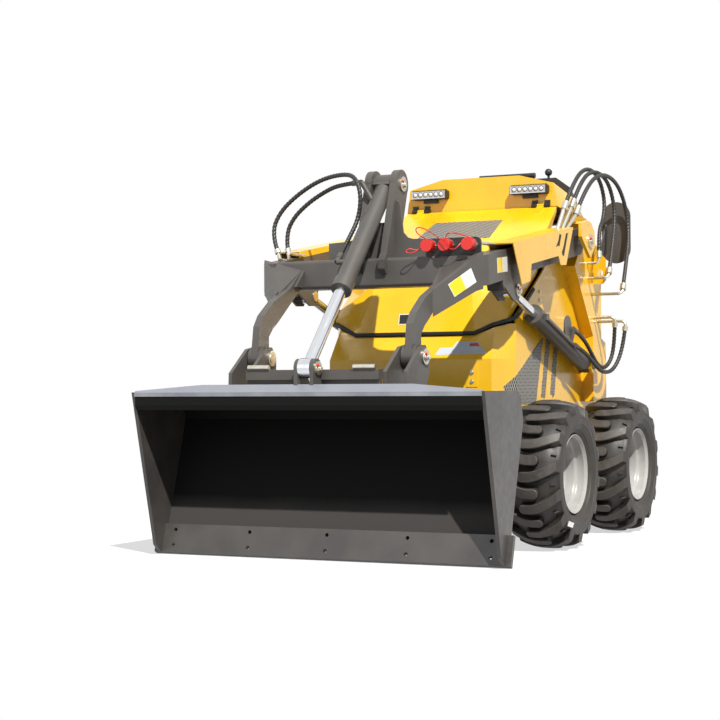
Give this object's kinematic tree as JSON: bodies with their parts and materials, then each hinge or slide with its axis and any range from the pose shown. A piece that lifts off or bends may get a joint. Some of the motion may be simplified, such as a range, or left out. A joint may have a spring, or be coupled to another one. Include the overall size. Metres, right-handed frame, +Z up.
{
  "type": "skid steer loader",
  "caption": "Stand-on skid steer loader with lift arms, tilting bucket, lift and tilt cylinders, opening hood and lugged wheels.",
  "frame": {"origin": "middle of the overall length and width, on the ground under the machine", "axes": "+X towards the bucket, +Y to the machine's left, +Z up"},
  "size_m": [2.1759, 1.276, 1.427],
  "materials": {
    "black_paint": "satin",
    "black_plastic": "grained",
    "black_rubber": "matt",
    "bucket_paint": "satin powder coat",
    "chromed_rod": "hard chrome",
    "engine_casting": "cast",
    "graphite_paint": "satin powder coat",
    "red_plastic": "moulded",
    "silver_paint": "satin silver paint",
    "tyre_rubber": "matt ribbed rubber",
    "yellow_paint": "gloss powder coat",
    "zinc_plate": "zinc plated"
  },
  "bodies": {
    "chassis": {"arm_hose_1": "black_rubber", "arm_hose_2": "black_rubber", "arm_hose_3": "black_rubber", "chassis_frame": "black_paint", "chassis_pins": "zinc_plate", "console_cowl": "black_plastic", "console_panel": "yellow_paint", "control_levers": "black_plastic", "engine_block": "engine_casting", "hip_pad": "black_plastic", "hood_hinges": "black_paint", "hub_motors": "graphite_paint", "lift_hose_lower_left": "black_rubber", "lift_hose_lower_right": "black_rubber", "lift_hose_upper_left": "black_rubber", "lift_hose_upper_right": "black_rubber", "nose_grilles": "black_paint", "nose_panel": "yellow_paint", "pivot_ears": "yellow_paint", "platform": "black_paint", "rear_boxes": "yellow_paint", "side_guard": "graphite_paint", "side_panels": "yellow_paint", "steel_tubes": "zinc_plate", "work_lights": "black_plastic"},
    "hood": {"hood_shell": "yellow_paint", "hood_grille": "black_paint"},
    "arms": {"lift_arm_left": "graphite_paint", "lift_arm_right": "graphite_paint", "crossmember": "graphite_paint", "arm_pins": "zinc_plate", "tower": "graphite_paint", "cover_left": "yellow_paint", "cover_right": "yellow_paint", "coupler_bracket": "black_paint", "coupler_caps": "red_plastic", "arm_fittings": "zinc_plate", "tilt_hose_low": "black_rubber", "tilt_hose_top": "black_rubber"},
    "bucket": {"bucket_shell": "bucket_paint", "bucket_sides": "bucket_paint", "cutting_edge": "bucket_paint", "attach_plate": "graphite_paint", "bucket_pins": "zinc_plate", "lock_levers": "zinc_plate"},
    "lift_barrel_left": {"lift_barrel_left": "graphite_paint"},
    "lift_barrel_right": {"lift_barrel_right": "graphite_paint"},
    "lift_rod_left": {"lift_rod_left": "chromed_rod"},
    "lift_rod_right": {"lift_rod_right": "chromed_rod"},
    "tilt_barrel": {"tilt_barrel": "graphite_paint"},
    "tilt_rod": {"tilt_rod": "chromed_rod"},
    "wheel_front_left": {"tyre_front_left": "tyre_rubber", "rim_front_left": "silver_paint"},
    "wheel_front_right": {"tyre_front_right": "tyre_rubber", "rim_front_right": "silver_paint"},
    "wheel_rear_left": {"tyre_rear_left": "tyre_rubber", "rim_rear_left": "silver_paint"},
    "wheel_rear_right": {"tyre_rear_right": "tyre_rubber", "rim_rear_right": "silver_paint"}
  },
  "joints": [
    {"name": "arms_lift", "type": "hinge", "parent": "chassis", "child": "arms", "pos_m": [-0.4, 0, 1.1], "axis": [0, -1, 0], "range_deg": [-27.8, 58], "deforming": ["arm_hose_1", "arm_hose_2", "arm_hose_3", "lift_hose_lower_left", "lift_hose_upper_left", "lift_hose_lower_right", "lift_hose_upper_right"]},
    {"name": "bucket_tilt", "type": "hinge", "parent": "arms", "child": "bucket", "pos_m": [0.84, 0, 0.65195], "axis": [0, 1, 0], "range_deg": [-102, 26], "deforming": ["tilt_hose_low", "tilt_hose_top"]},
    {"name": "hood_hinge", "type": "hinge", "parent": "chassis", "child": "hood", "pos_m": [-0.446, 0, 1.25], "axis": [0, -1, 0], "range_deg": [0, 45]},
    {"name": "lift_barrel_left_hinge", "type": "hinge", "parent": "chassis", "child": "lift_barrel_left", "pos_m": [-0.55, 0.392, 0.632], "axis": [0, -1, 0], "range_deg": [-18.5, 38]},
    {"name": "lift_rod_left_slide", "type": "slide", "parent": "lift_barrel_left", "child": "lift_rod_left", "axis": [0.9556, 0, 0.2948], "range_m": [-0.17, 0.35]},
    {"name": "lift_barrel_right_hinge", "type": "hinge", "parent": "chassis", "child": "lift_barrel_right", "pos_m": [-0.55, -0.392, 0.632], "axis": [0, -1, 0], "range_deg": [-18.5, 38]},
    {"name": "lift_rod_right_slide", "type": "slide", "parent": "lift_barrel_right", "child": "lift_rod_right", "axis": [0.9556, 0, 0.2948], "range_m": [-0.17, 0.35]},
    {"name": "tilt_barrel_hinge", "type": "hinge", "parent": "arms", "child": "tilt_barrel", "pos_m": [0.43, 0, 1.255], "axis": [0, 1, 0], "range_deg": [-4, 2]},
    {"name": "tilt_rod_slide", "type": "slide", "parent": "tilt_barrel", "child": "tilt_rod", "axis": [0.6869, 0, -0.7267], "range_m": [-0.29, 0.076]},
    {"name": "wheel_front_left_spin", "type": "hinge", "parent": "chassis", "child": "wheel_front_left", "pos_m": [0.25, 0.5325, 0.254], "axis": [0, 1, 0], "continuous": true},
    {"name": "wheel_front_right_spin", "type": "hinge", "parent": "chassis", "child": "wheel_front_right", "pos_m": [0.25, -0.5325, 0.254], "axis": [0, 1, 0], "continuous": true},
    {"name": "wheel_rear_left_spin", "type": "hinge", "parent": "chassis", "child": "wheel_rear_left", "pos_m": [-0.494, 0.5325, 0.254], "axis": [0, 1, 0], "continuous": true},
    {"name": "wheel_rear_right_spin", "type": "hinge", "parent": "chassis", "child": "wheel_rear_right", "pos_m": [-0.494, -0.5325, 0.254], "axis": [0, 1, 0], "continuous": true}
  ],
  "couplings": [
    {"joint": "lift_barrel_left_hinge", "follows": "arms_lift", "ratio": 0.64},
    {"joint": "lift_rod_left_slide", "follows": "arms_lift", "m_per_rad": 0.34125},
    {"joint": "lift_barrel_right_hinge", "follows": "arms_lift", "ratio": 0.64},
    {"joint": "lift_rod_right_slide", "follows": "arms_lift", "m_per_rad": 0.34125},
    {"joint": "tilt_barrel_hinge", "follows": "bucket_tilt", "ratio": 0.0323},
    {"joint": "tilt_rod_slide", "follows": "bucket_tilt", "m_per_rad": 0.16031}
  ]
}
